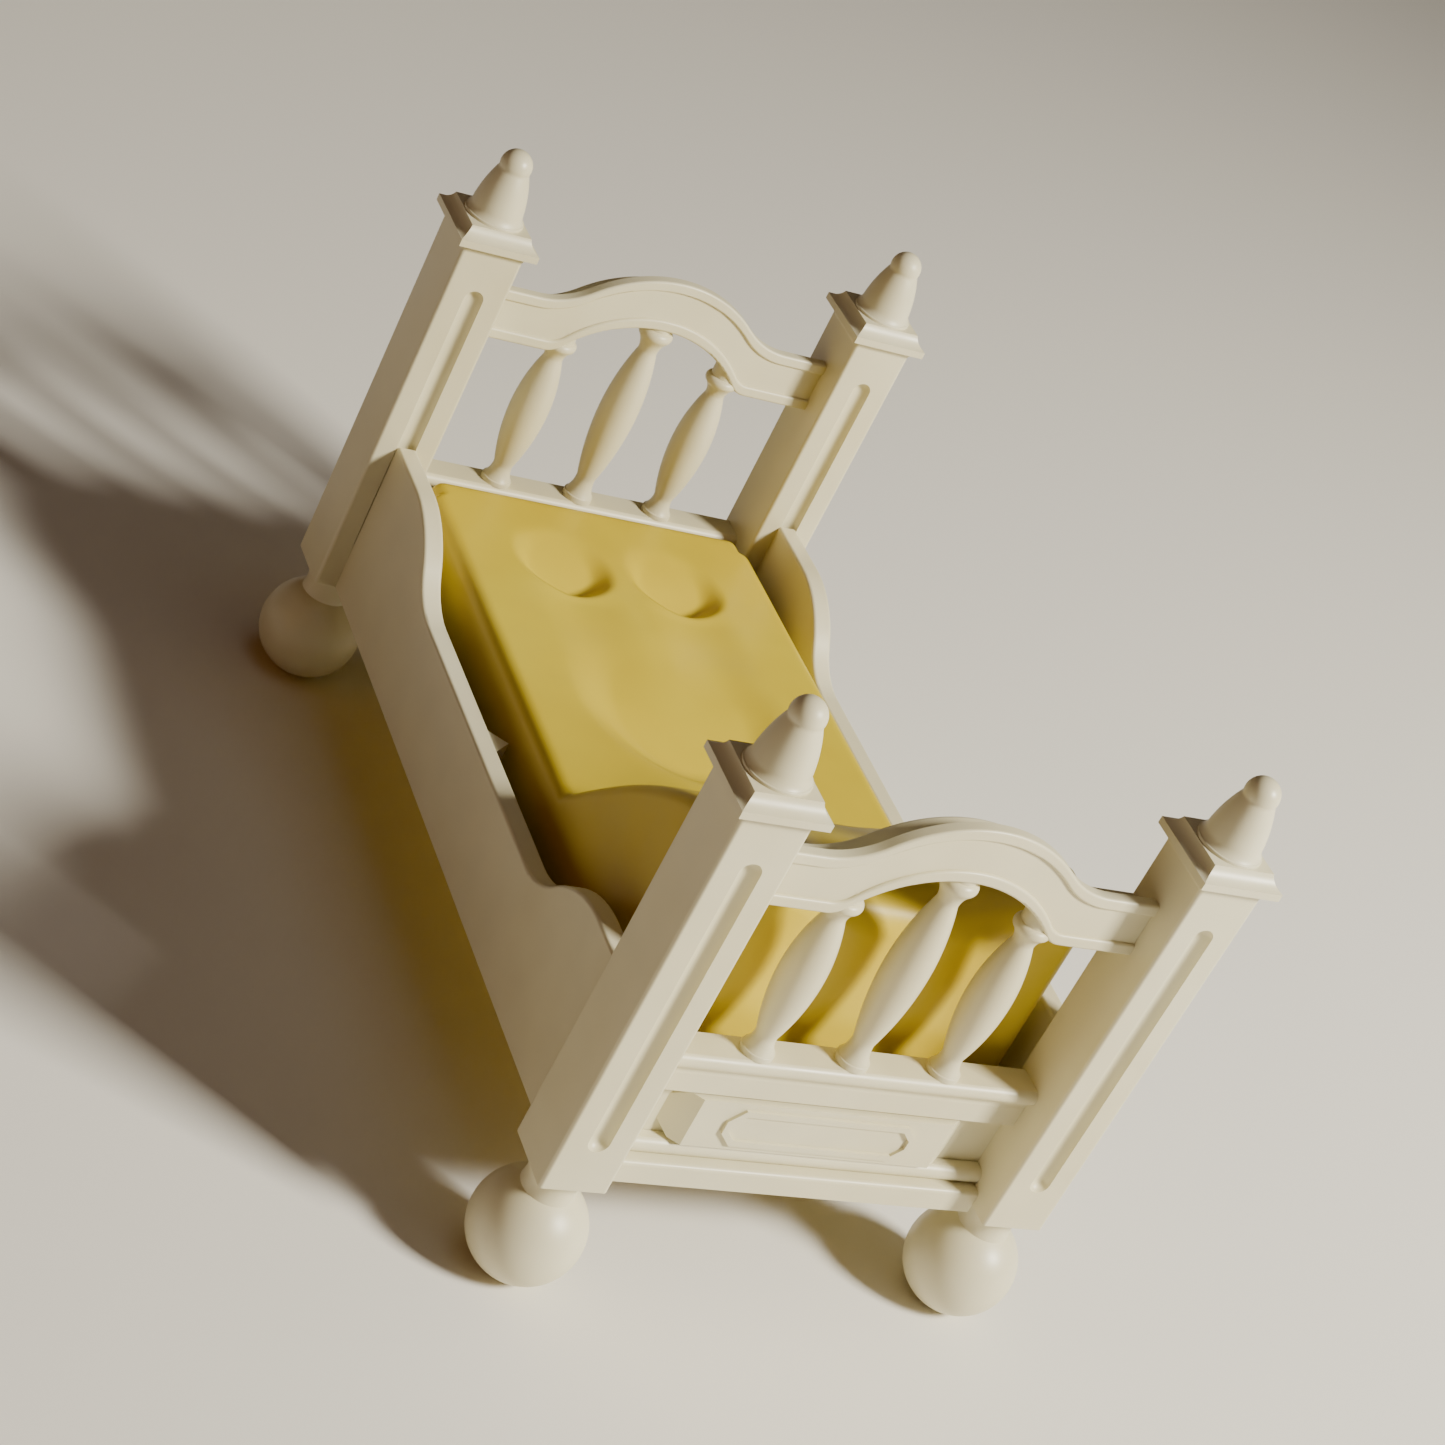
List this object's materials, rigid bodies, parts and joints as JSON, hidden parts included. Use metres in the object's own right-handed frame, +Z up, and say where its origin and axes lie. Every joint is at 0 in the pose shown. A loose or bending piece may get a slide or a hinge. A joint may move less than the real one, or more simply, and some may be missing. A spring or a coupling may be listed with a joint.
{
  "type": "miniature four poster bed",
  "caption": "Dolls' house bedstead with turned feet, fluted posts, finials, arched baluster boards, low side rails and a lift-out moulded mattress with pillow.",
  "frame": {"origin": "on the floor, at the middle of the four feet", "axes": "+Z up, +Y from the head board to the foot board, +X across the bed"},
  "size_m": [0.0544, 0.0934, 0.0616],
  "materials": {
    "cream_plastic": "glossy injection moulded, cream",
    "yellow_plastic": "satin injection moulded, yellow"
  },
  "bodies": {
    "bedstead": {"ball_foot_head_left": "cream_plastic", "ball_foot_head_right": "cream_plastic", "ball_foot_foot_left": "cream_plastic", "ball_foot_foot_right": "cream_plastic", "post_head_left": "cream_plastic", "post_head_right": "cream_plastic", "post_foot_left": "cream_plastic", "post_foot_right": "cream_plastic", "finial_head_left": "cream_plastic", "finial_head_right": "cream_plastic", "finial_foot_left": "cream_plastic", "finial_foot_right": "cream_plastic", "arch_rail_head": "cream_plastic", "arch_rail_foot": "cream_plastic", "mid_rail_head": "cream_plastic", "mid_rail_foot": "cream_plastic", "panel_head": "cream_plastic", "panel_foot": "cream_plastic", "plinth_head": "cream_plastic", "plinth_foot": "cream_plastic", "baluster_head_left": "cream_plastic", "baluster_head_middle": "cream_plastic", "baluster_head_right": "cream_plastic", "baluster_foot_left": "cream_plastic", "baluster_foot_middle": "cream_plastic", "baluster_foot_right": "cream_plastic", "side_rail_left": "cream_plastic", "side_rail_right": "cream_plastic"},
    "insert": {"mattress_insert": "yellow_plastic"}
  },
  "joints": [
    {"name": "insert_lift", "type": "slide", "parent": "bedstead", "child": "insert", "axis": [0, 0, 1], "range_m": [0, 0.05]}
  ]
}
